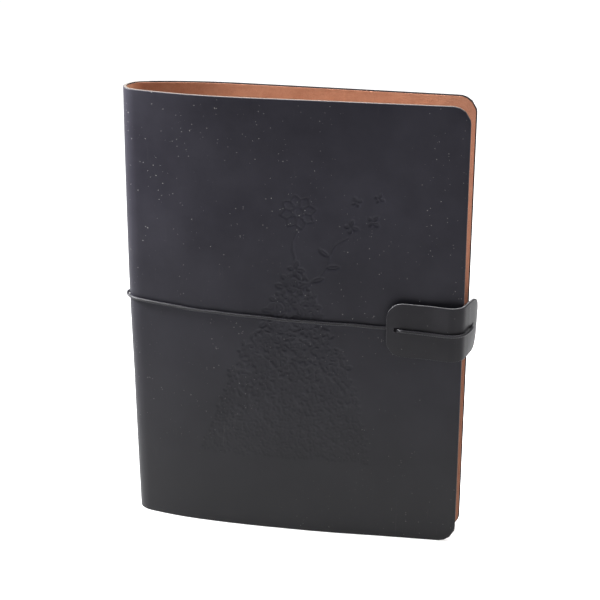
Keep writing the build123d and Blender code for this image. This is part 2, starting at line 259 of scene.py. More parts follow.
def smooth_leather(name, dark, light, painted_low_shade, dust_amount, roughness):
    """Coated leather: faint clouding, a pore-fine grain, soft scuffs and specks of pale dust.

    Towards the lower edge its bluish tone turns to a darker flat grey, a painted shade for how the light
    falls; more of the dust lies higher up.
    """
    finish = Finish(name, specular_ior_level=0.1)
    clouds = finish.noise(38.0, 4.0, 0.6).span(0.34, 0.68)
    tone = finish.mix(clouds, dark, light)
    height = finish.axis(2)
    # painted shade: lower down the bluish tone gives way to a darker flat grey
    tone = finish.mix(height.span(0.015, 0.14, 0.8, 0.0), tone, painted_low_shade)
    fine = (finish.cells(760.0) < finish.noise(500.0, 0.0).span(0.48, 0.72, 0.0, 0.15)) * 0.8
    coarse = finish.cells(190.0) < finish.noise(90.0, 0.0).span(0.6, 0.85, 0.0, 0.06)
    patch = finish.noise(24.0, 2.0).span(0.42, 0.62)
    settled = height.span(0.03, 0.17, 0.25, 1.0)
    dust = (fine * patch + coarse) * settled * dust_amount
    scuff_lines = finish.noise(1.0, 3.0, 0.7, finish.stretched(900.0, 900.0, 60.0)).span(0.62, 0.8)
    worn = scuff_lines * finish.noise(30.0).span(0.5, 0.7)
    tone = finish.mix(worn * 0.08, tone, colour(120, 118, 116))
    tone = finish.mix(dust, tone, colour(185, 183, 180))
    rough = finish.noise(90.0, 3.0).span(0.3, 0.7, roughness - 0.04, roughness + 0.05) + dust * 0.3
    grain = finish.cells(2600.0) * 0.6 + finish.noise(5200.0, 3.0) * 0.7
    finish.feed(base_color=tone, roughness=rough)
    return finish.bump(grain + finish.noise(240.0, 2.0) * 1.2, 0.00004, 0.4).material


def suede(name):
    """Brushed nap: short fibres in patches, lighter where they stand up, and darker at the fore-edge as
    painted shade.
    """
    finish = Finish(name, specular_ior_level=0.2, sheen_weight=0.35, sheen_roughness=0.5,
                    sheen_tint=colour(235, 190, 160))
    nap = finish.noise(260.0, 4.0, 0.65).span(0.3, 0.7)
    fibre = finish.noise(1.0, 3.0, 0.7, finish.stretched(4200.0, 4200.0, 1900.0))
    tone = finish.mix(nap, colour(156, 107, 82), colour(178, 129, 102))
    # painted shade: the lining turns darker towards the fore-edge
    painted_fore_edge_shade = finish.axis(0).span(0.050, 0.064, 0.0, 0.7)
    tone = finish.mix(painted_fore_edge_shade, tone, colour(128, 86, 70))
    tone = finish.mix(fibre.span(0.35, 0.75) * 0.45, tone, colour(194, 142, 116))
    tone = finish.mix(finish.cells(900.0).span(0.0, 0.05, 0.5, 0.0), tone, colour(190, 138, 112))
    finish.feed(base_color=tone, roughness=nap.span(0.0, 1.0, 0.86, 0.96))
    return finish.bump(fibre + nap * 0.6, 0.00012, 0.8).material


def cut_edge(name, pale, deep):
    """The raw cut edge of the leather board: pale packed fibre with a dyed lip. On the front cover the
    pale tone is a painted highlight where the edge catches the light, and on the tab partly so.
    """
    finish = Finish(name, specular_ior_level=0.2)
    fibre = finish.noise(1600.0, 3.0, 0.7).span(0.3, 0.7)
    finish.feed(base_color=finish.mix(fibre, deep, pale), roughness=fibre.span(0, 1, 0.75, 0.9))
    return finish.bump(fibre, 0.00005).material


def braided_elastic(name):
    """Polyester braid over rubber: near-black yarn with a dull violet sheen, and pale fibre ends whose
    specks are also painted glints.
    """
    finish = Finish(name, specular_ior_level=0.25, sheen_weight=0.1, sheen_roughness=0.35,
                    sheen_tint=colour(190, 184, 205))
    yarn = finish.noise(3200.0, 2.0, 0.6).span(0.35, 0.7)
    tone = finish.mix(yarn, colour(7, 7, 9), colour(28, 27, 32))
    # pale specks: fibre ends, and painted glints of light on the braid
    fibre_ends_and_glints = finish.cells(1500.0).span(0.0, 0.14, 0.6, 0.0) * finish.noise(600.0).span(0.48, 0.62)
    tone = finish.mix(fibre_ends_and_glints, tone, colour(112, 108, 120))
    finish.feed(base_color=tone, roughness=yarn.span(0, 1, 0.38, 0.6))
    return finish.bump(yarn, 0.00004).material


def plated_steel(name, tint, roughness, streak_scale):
    """Nickel-plated or bare steel, streaked along its length: a low scale draws long streaks."""
    finish = Finish(name, metallic=1.0)
    streak = finish.noise(1.0, 3.0, 0.6, finish.stretched(2600.0, 2600.0, streak_scale))
    tarnish = finish.noise(120.0, 3.0).span(0.45, 0.75)
    dull = colour(*(0.72 * channel for channel in tint))
    finish.feed(base_color=finish.mix(tarnish * 0.5, colour(*tint), dull),
                roughness=streak.span(0.3, 0.7, roughness, roughness + 0.14) + tarnish * 0.06)
    return finish.bump(streak, 0.00001, 0.5).material


def matt_floor(name):
    finish = Finish(name, specular_ior_level=0.1, emission_strength=0.6)
    finish.shader.inputs["Emission Color"].default_value = colour(255, 255, 255)
    finish.feed(base_color=finish.mix(finish.noise(3.0), colour(190, 190, 190), colour(193, 193, 193)),
                roughness=finish.noise(5.0).span(0, 1, 0.9, 1.0))
    return finish.material


# the third colour of each leather is the painted shade of its lower part
black_leather = smooth_leather("black_leather", colour(29, 28, 35), colour(37, 36, 43),
                               colour(29, 29, 29), 0.6, 0.44)
tab_hide = smooth_leather("tab_hide", colour(26, 25, 29), colour(33, 32, 36),
                          colour(30, 30, 30), 0.4, 0.4)
rust_suede = suede("rust_suede")
# painted highlight: the front cover's edge is pale where its lip catches the light; the back cover's
# edge keeps the leather's own dark dye
front_edge_painted_highlight = cut_edge("front_edge_painted_highlight", colour(96, 90, 85), colour(66, 61, 58))
dyed_edge = cut_edge("dyed_edge", colour(44, 40, 44), colour(26, 24, 27))
lining_edge = cut_edge("lining_edge", colour(128, 88, 70), colour(98, 66, 52))
# partly painted highlight: the tab's edge grey is raised to stand for its top edge catching the light
tab_edge = cut_edge("tab_edge", colour(108, 108, 110), colour(76, 76, 78))
elastic_yarn = braided_elastic("elastic_yarn")
nickel = plated_steel("nickel", (186, 184, 180), 0.2, 900.0)
spring_steel = plated_steel("spring_steel", (150, 150, 154), 0.3, 40.0)


# ---- mesh helpers --------------------------------------------------------------------------------


def smoothstep(low, high, v):
    t = np.clip((v - low) / (high - low), 0, 1)
    return t * t * (3 - 2 * t)


LIP_STEPS = np.array([0, 0.12, 0.35, 0.65, 1.0])      # rows of points across a rounded cut edge
SHARP_ANGLE = 40


def piece(name, points, faces, materials, body, replaced, material_of=None, sharp=SHARP_ANGLE):
    """A mesh object from points in millimetres, riding on a body when one is given."""
    mesh = bpy.data.meshes.new(name)
    mesh.from_pydata([tuple(p) for p in np.asarray(points) * MM], [], faces)
    for material in materials:
        mesh.materials.append(material)
    if material_of is not None:
        mesh.polygons.foreach_set("material_index", np.asarray(material_of, np.int32))
    mesh.polygons.foreach_set("use_smooth", np.ones(len(mesh.polygons), bool))
    mesh.validate()
    mesh.set_sharp_from_angle(angle=math.radians(sharp))
    made = bpy.data.objects.new(name, mesh)
    bpy.context.scene.collection.objects.link(made)
    if body:
        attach(made, body)
    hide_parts(*replaced)
    return made


def spaced(limits, steps):
    """Rising values through the limits, spaced by each stretch's step."""
    values = [limits[0]]
    for low, high, step in zip(limits, limits[1:], steps):
        count = max(1, round((high - low) / step))
        values += [low + (high - low) * (n + 1) / count for n in range(count)]
    return np.array(values)


def shell_faces(columns, rows, coarse):
    """Faces of a closed sheet: an outer grid, an inner grid that keeps the coarse rows, and its edges.

    Returns the faces, and for each face 1 on the cut edges and 0 elsewhere.
    """
    outer = np.arange(columns * rows).reshape(columns, rows)
    inner = columns * rows + np.arange(columns * len(coarse)).reshape(columns, len(coarse))
    faces = [(outer[c, r], outer[c + 1, r], outer[c + 1, r + 1], outer[c, r + 1])
             for c in range(columns - 1) for r in range(rows - 1)]
    faces += [(inner[c, r], inner[c, r + 1], inner[c + 1, r + 1], inner[c + 1, r])
              for c in range(columns - 1) for r in range(len(coarse) - 1)]
    broad = len(faces)
    for c in range(columns - 1):
        faces.append((outer[c, 0], inner[c, 0], inner[c + 1, 0], outer[c + 1, 0]))
        faces.append((outer[c, -1], outer[c + 1, -1], inner[c + 1, -1], inner[c, -1]))
    for c, turn in ((0, 1), (columns - 1, -1)):
        for k, (low, high) in enumerate(zip(coarse, coarse[1:])):
            loop = [inner[c, k], *outer[c, low:high + 1], inner[c, k + 1]]
            faces.append(tuple(loop[::turn]))
    return [tuple(map(int, face)) for face in faces], [int(n >= broad) for n in range(len(faces))]


# ---- the pressed motif ---------------------------------------------------------------------------


class Press:
    """A debossing die: the depth pressed into the front cover on a grid of points (u, z)."""

    depth = 0.3
    wall = 0.26

    def __init__(self, u, z):
        self.u, self.z = np.meshgrid(u, z, indexing="ij")
        self.pressed = np.zeros_like(self.u)
        self.columns, self.rows = u, z

    def window(self, low, high):
        cs = np.searchsorted(self.columns, (low[0], high[0]))
        rs = np.searchsorted(self.rows, (low[1], high[1]))
        return slice(*cs), slice(*rs)

    def petal(self, root, angle, length, width, depth=1.0, vein=0.55):
        """A pointed petal or leaf: where two equal circles overlap, with a vein left standing."""
        way = np.array([math.cos(angle), math.sin(angle)])
        tip = np.array(root) + length * way
        low, high = np.minimum(root, tip) - width - 1, np.maximum(root, tip) + width + 1
        spot = self.window(low, high)
        du, dz = self.u[spot] - root[0], self.z[spot] - root[1]
        run = du * way[0] + dz * way[1] - length / 2
        side = np.abs(-du * way[1] + dz * way[0])
        half, swell = length / 2, width / 2
        radius = (half ** 2 + swell ** 2) / (2 * swell)
        inside = radius - np.hypot(run, side + radius - swell)
        fade = 0.5 + 0.5 * smoothstep(34, 100, root[1])
        recess = self.depth * depth * fade * smoothstep(-self.wall * 0.3, self.wall, inside)
        ridge = 1 - vein * np.exp(-(side / 0.28) ** 2) * smoothstep(0, 0.8, inside)
        self.pressed[spot] = np.maximum(self.pressed[spot], recess * ridge)

    def line(self, points, width=0.42, depth=0.62):
        """A groove along a smooth line through the points."""
        for a, b in zip(points, points[1:]):
            a, b = np.array(a), np.array(b)
            spot = self.window(np.minimum(a, b) - 2, np.maximum(a, b) + 2)
            du, dz = self.u[spot] - a[0], self.z[spot] - a[1]
            way = b - a
            t = np.clip((du * way[0] + dz * way[1]) / (way @ way), 0, 1)
            gap = np.hypot(du - t * way[0], dz - t * way[1])
            groove = self.depth * depth * (1 - smoothstep(width * 0.3, width, gap))
            self.pressed[spot] = np.maximum(self.pressed[spot], groove)

    def spray(self, centre, size, turn, kind):
        """One small stamp: a butterfly, an open blossom or a three-leaf sprig."""
        shapes = {
            "butterfly": [(0.75, 1.0, 0.62), (-0.75, 1.0, 0.62), (2.3, 0.72, 0.5), (-2.3, 0.72, 0.5)],
            "blossom": [(2 * math.pi * n / 5, 0.8, 0.5) for n in range(5)],
            "sprig": [(0.0, 1.1, 0.42), (1.1, 0.8, 0.34), (-1.1, 0.8, 0.34)],
        }
        for angle, length, width in shapes[kind]:
            way = np.array([math.cos(turn + angle), math.sin(turn + angle)])
            self.petal(np.array(centre) + 0.06 * size * way, turn + angle, length * size, width * size)


def curve_through(points, count=14):
    """A smooth open curve through the points."""
    p = np.array([2 * np.array(points[0]) - np.array(points[1]), *points,
                  2 * np.array(points[-1]) - np.array(points[-2])], float)
    out = []
    for n in range(1, len(p) - 2):
        for t in np.linspace(0, 1, count, endpoint=False):
            out.append(0.5 * (2 * p[n] + (p[n + 1] - p[n - 1]) * t
                              + (2 * p[n - 1] - 5 * p[n] + 4 * p[n + 1] - p[n + 2]) * t ** 2
                              + (3 * p[n] - p[n - 1] - 3 * p[n + 1] + p[n + 2]) * t ** 3))
    return np.array(out + [p[-2]])


CLUSTER = {"top": 119.0, "bottom": 35.0, "centre_top": 70.5, "centre_bottom": 66.0}
CLUSTER_HALF_WIDTHS = ((35.0, 35.0), (64.0, 26.5), (82.0, 21.5), (96.0, 11.5), (119.0, 2.0))
FLOWER = {"centre": (71.0, 140.5), "petals": 8, "heart": 1.9, "reach": 7.2, "bow": 1.9}


def cluster_half_width(z):
    heights, widths = zip(*CLUSTER_HALF_WIDTHS)
    return float(np.interp(z, heights, widths))


def about_flower(radius, angle):
    """A point at a radius and an angle about the flower's centre."""
    return np.array(FLOWER["centre"]) + radius * np.array([math.cos(angle), math.sin(angle)])


def motif(u, z):
    """A cone-shaped drift of small blossoms under one tall flower, with a few loose petals."""
    die = Press(u, z)
    draw = random.Random(7)
    height = CLUSTER["bottom"]
    while height < CLUSTER["top"]:
        share = (height - CLUSTER["bottom"]) / (CLUSTER["top"] - CLUSTER["bottom"])
        size = 1.9 + 1.9 * min(share * 1.3, 1) * draw.uniform(0.8, 1.1)
        centre = CLUSTER["centre_bottom"] + share * (CLUSTER["centre_top"] - CLUSTER["centre_bottom"])
        reach = cluster_half_width(height)
        count = max(1, round(2 * reach / (1.3 * size)))
        for n in range(count):
            spot = centre - reach + 2 * reach * (n + 0.5 + draw.uniform(-0.25, 0.25)) / count
            lift = height + draw.uniform(-0.35, 0.35) * size
            kind = draw.choice(("butterfly", "butterfly", "blossom", "sprig", "sprig"))
            die.spray((spot, lift), size * draw.uniform(0.8, 1.3), draw.uniform(0, 2 * math.pi), kind)
        height += size * 0.95
    for n in range(FLOWER["petals"]):
        angle = 2 * math.pi * n / FLOWER["petals"] + 0.2
        root, tip = about_flower(FLOWER["heart"], angle), about_flower(FLOWER["reach"], angle)
        for bow in (-FLOWER["bow"], FLOWER["bow"]):
            side = (root + tip) / 2 + bow * np.array([-math.sin(angle), math.cos(angle)])
            die.line(curve_through([root, side, tip], 8), 0.45)
    die.line([about_flower(FLOWER["heart"], angle) for angle in np.linspace(0, 6.3, 20)], 0.45)
    die.line(curve_through([(70.6, 133.2), (68.6, 127.0), (70.2, 119.0)]), 0.5)
    die.line(curve_through([(70.4, 118.0), (76.5, 111.5), (81.5, 117.0), (85.0, 126.5),
                            (90.5, 130.8)]), 0.5)
    for spot, angle, size in (((76.0, 111.9), 0.3, 6.0), ((81.9, 118.0), 0.1, 6.0),
                              ((83.4, 122.5), 2.5, 5.5)):
        die.petal(spot, angle, size, 0.4 * size)
    for spot, angle, size in (((91.6, 135.1), 0.6, 3.4), ((100.2, 138.1), 0.1, 3.2),
                              ((93.8, 145.4), 1.2, 2.6), ((102.3, 147.5), 0.4, 2.4)):
        die.spray(spot, size, angle, "butterfly")
    return die.pressed


# ---- leather and lining --------------------------------------------------------------------------


BACK_LENGTH = Section.length + BACK_OVERHANG
FOLD_ALONG = Section.along_at(FOLD_AT)
BEND_END = {"front_cover": FOLD_AT + 22.0, "back_cover": FOLD_AT + 14.0}
ROUND_THE_SPINE = Section.along_at(SHOULDER_AT) - SHOULDER_AT      # "along" less "u" on the flats
MOTIF_U = (28.0, 106.0)
MOTIF_Z = (29.0, 151.0)
MOTIF_STEP = 0.39


def outline_at(along, end, inset):
    """Lowest and highest z of a sheet's outline at a distance along it, with its rounded corners."""
    radius = CORNER_RADIUS - inset
    near = np.clip(abs(end) - np.abs(along), 0, radius)
    rise = inset + radius - np.sqrt(np.maximum(radius ** 2 - (radius - near) ** 2, 0))
    return rise, HEIGHT - rise


def border_distance(along, z, end):
    """Distance to the cover's cut outline."""
    right = abs(end) - np.abs(along)
    rise = np.minimum(z, HEIGHT - z)
    corner = CORNER_RADIUS - np.hypot(CORNER_RADIUS - right, CORNER_RADIUS - rise)
    in_corner = (right < CORNER_RADIUS) & (rise < CORNER_RADIUS)
    return np.where(in_corner, corner, np.minimum(right, rise))


def slack(along, z):
    """The shift in x and y that the leather has taken from a flat-sided cover.

    The spine is bowed. The front cover is hollow beside it, swells at its lower edge and is pressed in
    under the tab. The back cover leans in towards the front cover at its lower fore-edge corner.
    """
    far, up = np.abs(along), z / HEIGHT
    bow = -(SPINE_BOW * (1 - (2 * up - 1) ** 2) + SPINE_LEAN * smoothstep(0.3, 0.6, up))
    bow = bow * (1 - smoothstep(0, 26, far))
    calm = smoothstep(20, 45, far)
    wave = calm * (0.10 * np.sin(along / 17 + z / 31 + 0.6) + 0.08 * np.sin(z / 23 - along / 29))
    swell = FRONT_SWELL * np.exp(-((far - 84) / 24) ** 2) * (1 - smoothstep(0, 0.6, up))
    hollow = FRONT_HOLLOW * smoothstep(0, 10, far) * (1 - smoothstep(35, 62, far)) * (1 - 0.4 * up)
    beyond = np.maximum(far - SHOULDER_AT, 0) / (Section.length - SHOULDER_AT)
    lean = BACK_LEAN * beyond ** 1.2 * (1 - up)
    press = FRONT_PRESS * smoothstep(105, Section.length, far) * np.exp(-((z - TAB_HEIGHT) / 24) ** 2)
    return bow, np.where(along >= 0, hollow + press - wave - swell, wave - lean)


def sheet_points(along, z, out):
    """Points of the sheet at a height off its outer face, with the leather's slack."""
    x, y = Section.at(along, out)
    shift_x, shift_y = slack(along, z)
    return np.stack([x + shift_x, y + shift_y, z], -1)


def cover_sheet(name, end, depths, inset, coarse_step, fine, materials, replaced, pressed=None):
    """A closed sheet of leather or lining from the fold beside the back cover to a fore-edge.

    end is the fore-edge's distance along the section, and depths are those of the sheet's two faces.
    """
    fold, tip = -FOLD_ALONG, end - math.copysign(inset, end)
    steps_along, steps_up = fine
    low, high = min(fold, tip), max(fold, tip)
    near = LIP * LIP_STEPS
    along = np.unique(np.round(np.concatenate([
        steps_along[(steps_along > low) & (steps_along < high)], [fold],
        tip - math.copysign(1, end) * near]), 4))
    rows = np.unique(np.round(np.concatenate([steps_up, near, HEIGHT - near]), 4))
    bottom, top = outline_at(along, tip, inset)
    z = bottom[:, None] + rows[None, :] / HEIGHT * (top - bottom)[:, None]
    grid = np.repeat(along[:, None], len(rows), 1)
    edge = np.clip(border_distance(grid, z, end), 0, LIP)
    out = -depths[0] - (LIP - np.sqrt(LIP ** 2 - (LIP - edge) ** 2) if depths[0] == 0 else 0)
    if pressed is not None:
        out = out - pressed(along, rows, z)
    outer = sheet_points(grid, z, out)
    coarse = sorted({0, len(rows) - 1, *range(0, len(rows), coarse_step)})
    inner = sheet_points(grid[:, coarse], z[:, coarse], -depths[1])
    points = np.concatenate([outer.reshape(-1, 3), inner.reshape(-1, 3)])
    faces, rims = shell_faces(len(along), len(rows), coarse)
    return piece(name, points, faces, materials, None, replaced, rims)


def motif_on_sheet(along, rows, z):
    """The motif's depth at the sheet's grid points."""
    u = along - ROUND_THE_SPINE
    inside = (u > MOTIF_U[0]) & (u < MOTIF_U[1])
    tall = (rows > MOTIF_Z[0]) & (rows < MOTIF_Z[1])
    depth = np.zeros_like(z)
    depth[np.ix_(inside, tall)] = motif(u[inside], rows[tall])
    return depth


def fold_x(u):
    """The point in metres that is u from the spine, on the X axis."""
    return ((NOSE_X + u) * MM, 0, 0)


def build_cover():
    """Leather and lining, each in two sheets that meet on the fold beside the back cover."""
    plain_up = spaced([0, HEIGHT], [3.0])
    nose = Section.nose_length
    motif_low, motif_high = (u + ROUND_THE_SPINE for u in MOTIF_U)
    front_along = spaced([-FOLD_ALONG, -FOLD_ALONG + 0.2, nose, motif_low, motif_high, Section.length],
                         [0.05, 0.9, 1.5, MOTIF_STEP, 2.2])
    front_up = spaced([0, *MOTIF_Z, HEIGHT], [3.0, MOTIF_STEP, 3.0])
    back_along = spaced([-BACK_LENGTH, -SHOULDER_AT, -FOLD_ALONG - 0.2, -FOLD_ALONG], [2.0, 1.0, 0.05])
    lining_along = spaced([-FOLD_ALONG, -FOLD_ALONG + 0.2, nose, Section.length], [0.05, 0.6, 1.8])
    skin, nap = (0, LEATHER), (LEATHER - SEAM_OVERLAP, LEATHER + LINING)
    for name, end, depths, inset, coarse, fine, materials, replaced, pressed, cover in (
        ("front_cover_leather", Section.length, skin, 0, 12, (front_along, front_up),
         [black_leather, front_edge_painted_highlight], ("front_leather", "spine_leather"), motif_on_sheet,
         "front_cover"),
        ("front_cover_lining", Section.length, nap, LINING_INSET, 1, (lining_along, plain_up),
         [rust_suede, lining_edge], ("front_lining", "spine_lining"), None, "front_cover"),
        ("back_cover_leather", -BACK_LENGTH, skin, 0, 1, (back_along, plain_up),
         [black_leather, dyed_edge], ("back_leather",), None, "back_cover"),
        ("back_cover_lining", -BACK_LENGTH, nap, LINING_INSET, 1, (back_along, plain_up),
         [rust_suede, lining_edge], ("back_lining",), None, "back_cover"),
    ):
        sheet = cover_sheet(name, end, depths, inset, coarse, fine, materials, replaced, pressed)
        fold_x(FOLD_AT)
        fold_x(BEND_END[cover])
        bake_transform(sheet)


# ---- tab and cord --------------------------------------------------------------------------------


TAB_FRONT = ((0, 3.1), (5, 3.25), (9.5, 3.1), (13.5, 2.75), (17.5, 2.6), (21.5, 3.0), (25, 3.3),
             (27.9, 2.75))
TAB_SIDE = ((0.3, -1.35), (1.7, 1.9), (2.6, 4.8), (3.35, 7.5), (3.95, 10.0), (4.4, 12.9))


def tab_line():
    """The tab's outer line in plan: over the front cover, then round the fore-edge to the far end."""
    leg = [off_front(TAB_LEFT + run, out) for run, out in TAB_FRONT]
    turn = [(NOSE_X + WIDTH + beyond, FRONT_Y + behind) for beyond, behind in TAB_SIDE]
    return curve_through(leg + turn, 12)


def evenly(line, step):
    """The line's points again, evenly spaced, with the distance along it."""
    line = np.asarray(line, float)
    run = np.concatenate([[0], np.cumsum(np.linalg.norm(np.diff(line, axis=0), axis=1))])
    at = np.linspace(0, run[-1], max(2, round(run[-1] / step) + 1))
    return np.stack([np.interp(at, run, line[:, k]) for k in range(line.shape[1])], -1), at


def tab_rise(run):
    """How far the tab's middle stands above its lowest point, which is just before the bend."""
    return TAB_RISE * (1 - smoothstep(0, 24, run)) + TAB_RISE * smoothstep(25, 38, run)


tab_outline, tab_runs = evenly(tab_line(), 0.25)
tab_ways = np.gradient(tab_outline, axis=0)
tab_ways /= np.linalg.norm(tab_ways, axis=1)[:, None]
TAB_LENGTH = tab_runs[-1]
TAB_SLOTS = ((4.5, 94.75, (3.4, 1.9)), (TAB_LENGTH - 6.8, 95.0, (3.0, 1.9)))      # run, height, size


def on_tab(run, out):
    """x, y at a distance along the tab's outer face and a height off it."""
    x, y = (np.interp(run, tab_runs, tab_outline[:, k]) for k in range(2))
    way_x, way_y = (np.interp(run, tab_runs, tab_ways[:, k]) for k in range(2))
    return x + way_y * out, y - way_x * out


def build_tab():
    """The leather tab: a strip with rounded corners, bent round the fore-edge, with two cord slots."""
    length, lip = TAB_LENGTH, TAB_LIP
    ends = lip * LIP_STEPS
    run = np.unique(np.round(np.concatenate([spaced([0, length], [0.4]), ends, length - ends]), 4))
    across = np.unique(np.round(np.concatenate([
        spaced([-TAB_HALF_WIDTH, TAB_HALF_WIDTH], [0.45]),
        -TAB_HALF_WIDTH + ends, TAB_HALF_WIDTH - ends]), 4))
    near = np.clip(np.minimum(run, length - run), 0, TAB_CORNER)
    trim = TAB_CORNER - np.sqrt(np.maximum(TAB_CORNER ** 2 - (TAB_CORNER - near) ** 2, 0))
    b = across[None, :] * (1 - trim / TAB_HALF_WIDTH)[:, None]
    a = np.repeat(run[:, None], len(across), 1)
    end_gap, side_gap = np.minimum(a, length - a), TAB_HALF_WIDTH - np.abs(b)
    corner = TAB_CORNER - np.hypot(TAB_CORNER - end_gap, TAB_CORNER - side_gap)
    gap = np.where((end_gap < TAB_CORNER) & (side_gap < TAB_CORNER), corner,
                   np.minimum(end_gap, side_gap))
    round_over = lip - np.sqrt(np.maximum(lip ** 2 - (lip - np.clip(gap, 0, lip)) ** 2, 0))
    flare = 0.35 * smoothstep(32, length, a) * (b / TAB_HALF_WIDTH + 0.3)
    cup = 0.3 * (np.abs(b) / TAB_HALF_WIDTH) ** 2 * (1 - smoothstep(8, 28, a))
    z = TAB_HEIGHT + b + tab_rise(a)
    outer = np.stack([*on_tab(a, flare - cup - round_over), z], -1)
    inner = np.stack([*on_tab(a, flare - cup + round_over - TAB_THICKNESS), z], -1)
    faces, rims = shell_faces(len(run), len(across), list(range(len(across))))
    points = np.concatenate([outer.reshape(-1, 3), inner.reshape(-1, 3)])
    tab = piece("leather_tab", points, faces, [tab_hide, tab_edge], "closure",
                ("closure_tab",), rims)
    for slot in TAB_SLOTS:
        cut_slot(tab, *slot)


SLOT_REACH = 2.5               # of the cutter to each side of the leather's middle


def cut_slot(tab, run, height, size):
    """Punches a round-ended slot through the tab: size is its length and width."""
    middle = np.array([*on_tab(run, -TAB_THICKNESS / 2), height])
    out = np.array([*on_tab(run, 1), 0]) - np.array([*on_tab(run, 0), 0])
    way, up = np.array([-out[1], out[0], 0]), np.array([0, 0, 1])
    radius, reach = size[1] / 2, (size[0] - size[1]) / 2
    turn = 2 * np.pi * np.arange(24) / 24
    across = reach * np.sign(np.cos(turn) + 1e-9) + radius * np.cos(turn)
    rim = middle + across[:, None] * way + radius * np.sin(turn)[:, None] * up
    points = np.concatenate([rim - SLOT_REACH * out, rim + SLOT_REACH * out]) * MM
    count = len(rim)
    faces = [tuple(range(count))[::-1], tuple(range(count, 2 * count))]
    faces += [(n, (n + 1) % count, count + (n + 1) % count, count + n) for n in range(count)]
    mesh = bpy.data.meshes.new("slot_cutter")
    mesh.from_pydata([tuple(p) for p in points], [], faces)
    mesh.materials.append(tab_edge)
    cutter = bpy.data.objects.new("slot_cutter", mesh)
    bpy.context.scene.collection.objects.link(cutter)
    cut = tab.modifiers.new("slot", "BOOLEAN")
    cut.operation, cut.object, cut.solver = "DIFFERENCE", cutter, "EXACT"
    cut.material_mode = "TRANSFER"
    bake_modifiers(tab)
    bpy.data.objects.remove(cutter)


def bake_modifiers(made):
    """Replaces the mesh by its evaluated shape."""
    bpy.context.view_layer.update()
    shape = made.evaluated_get(bpy.context.evaluated_depsgraph_get())
    mesh = bpy.data.meshes.new_from_object(shape)
    made.modifiers.clear()
    made.data = mesh
    mesh.set_sharp_from_angle(angle=math.radians(SHARP_ANGLE))


def braid(name, line, body, replaced, closed_ends=True):
    """Round braid along a line: a tube that rises and falls with five yarns wound each way."""
    points, run = evenly(line, 0.16)
    way = np.gradient(points, axis=0)
    way /= np.linalg.norm(way, axis=1)[:, None]
    side = np.cross(way[0], (0.0, 0.0, 1.0))
    side /= np.linalg.norm(side)
    around = 20
    angle = 2 * np.pi * np.arange(around) / around
    rings = []
    for n, (point, ahead) in enumerate(zip(points, way)):
        side = side - ahead * (side @ ahead)
        side /= np.linalg.norm(side)
        up = np.cross(ahead, side)
        twist = 2 * np.pi * run[n] / BRAID_PITCH
        left = np.abs(np.cos(2.5 * angle + twist))
        right = np.abs(np.cos(2.5 * angle - twist))
        yarn = np.maximum(left, right) ** 1.5
        thick = CORD_RADIUS * (0.86 + 0.14 * yarn) * (1 + 0.015 * math.sin(run[n] * 0.9))
        rings.append(point + thick[:, None] * (np.cos(angle)[:, None] * side
                                               + np.sin(angle)[:, None] * up))
    count = len(rings)
    faces = [(n * around + k, n * around + (k + 1) % around,
              (n + 1) * around + (k + 1) % around, (n + 1) * around + k)
             for n in range(count - 1) for k in range(around)]
    if closed_ends:
        faces += [tuple(range(around))[::-1], tuple(range((count - 1) * around, count * around))]
    return piece(name, np.concatenate(rings), faces, [elastic_yarn], body, replaced,
                 sharp=80)


CORD_HEIGHT = 94.4
CORD_RISE = 3.7                # how much higher the cord lies at the spine than at the tab
CORD_LEVEL_AT = 112            # from the spine, where the rise ends
CROSSING = ((9.0, 94.5), (14.0, 94.1), (19.0, 93.75), (24.0, 93.65), (28.5, 93.8), (32.0, 94.1))
PULL_FROM = WIDTH - 11.0       # from the spine, 11 mm short of the fore-edge
ANCHOR_AT = Section.along_at(WIDTH - 13.0)
HOLE_HALF = 0.95               # half the anchor hole, from one pass of the cord to the other


def cord_height(u):
    """Height of the cord where it crosses the front cover, u from the spine."""
    kinks = 0.13 * math.sin(u / 6.5) + 0.08 * math.sin(u / 2.9 + 1.0)
    return CORD_HEIGHT + CORD_RISE * max(1 - u / CORD_LEVEL_AT, 0) ** 1.6 + kinks * min(1, u / 20)


def on_leather(along, z, out=CORD_LIE):
    """A point of the cord's middle at a height off the leather, following its slack."""
    return tuple(float(v) for v in sheet_points(np.array(float(along)), np.array(float(z)), out))


